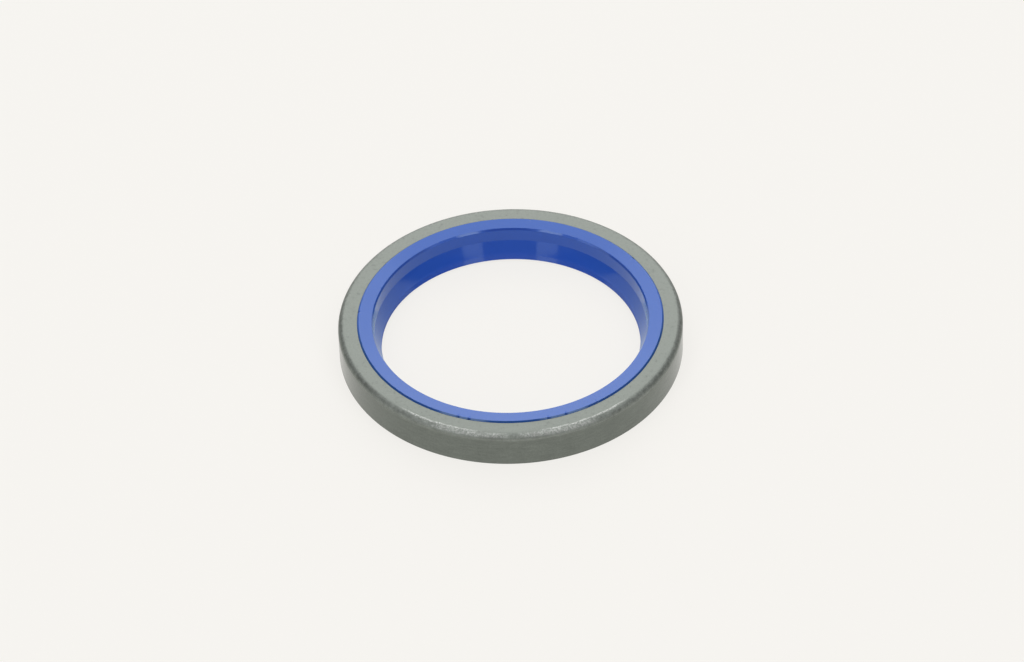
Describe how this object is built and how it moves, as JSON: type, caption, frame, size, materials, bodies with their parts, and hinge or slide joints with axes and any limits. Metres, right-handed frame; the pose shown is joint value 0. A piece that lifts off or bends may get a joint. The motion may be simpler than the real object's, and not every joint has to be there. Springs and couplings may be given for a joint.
{
  "type": "hydraulic wiper seal",
  "caption": "Steel-cased wiper ring: a blue polyurethane ring with a wiping lip, bonded in a drawn L-section steel case that is pressed into a round housing.",
  "frame": {"origin": "middle of the case's open end, on the surface that the ring lies on", "axes": "+Z is the ring's axis, from the open end of the case to its flange; +X and +Y are any two square directions across it"},
  "size_m": [0.065, 0.065, 0.0072],
  "materials": {
    "case_steel": "satin, phosphated",
    "wiper_polyurethane": "gloss"
  },
  "bodies": {
    "root": {"steel_case": "case_steel", "wiper_ring": "wiper_polyurethane"}
  },
  "joints": []
}
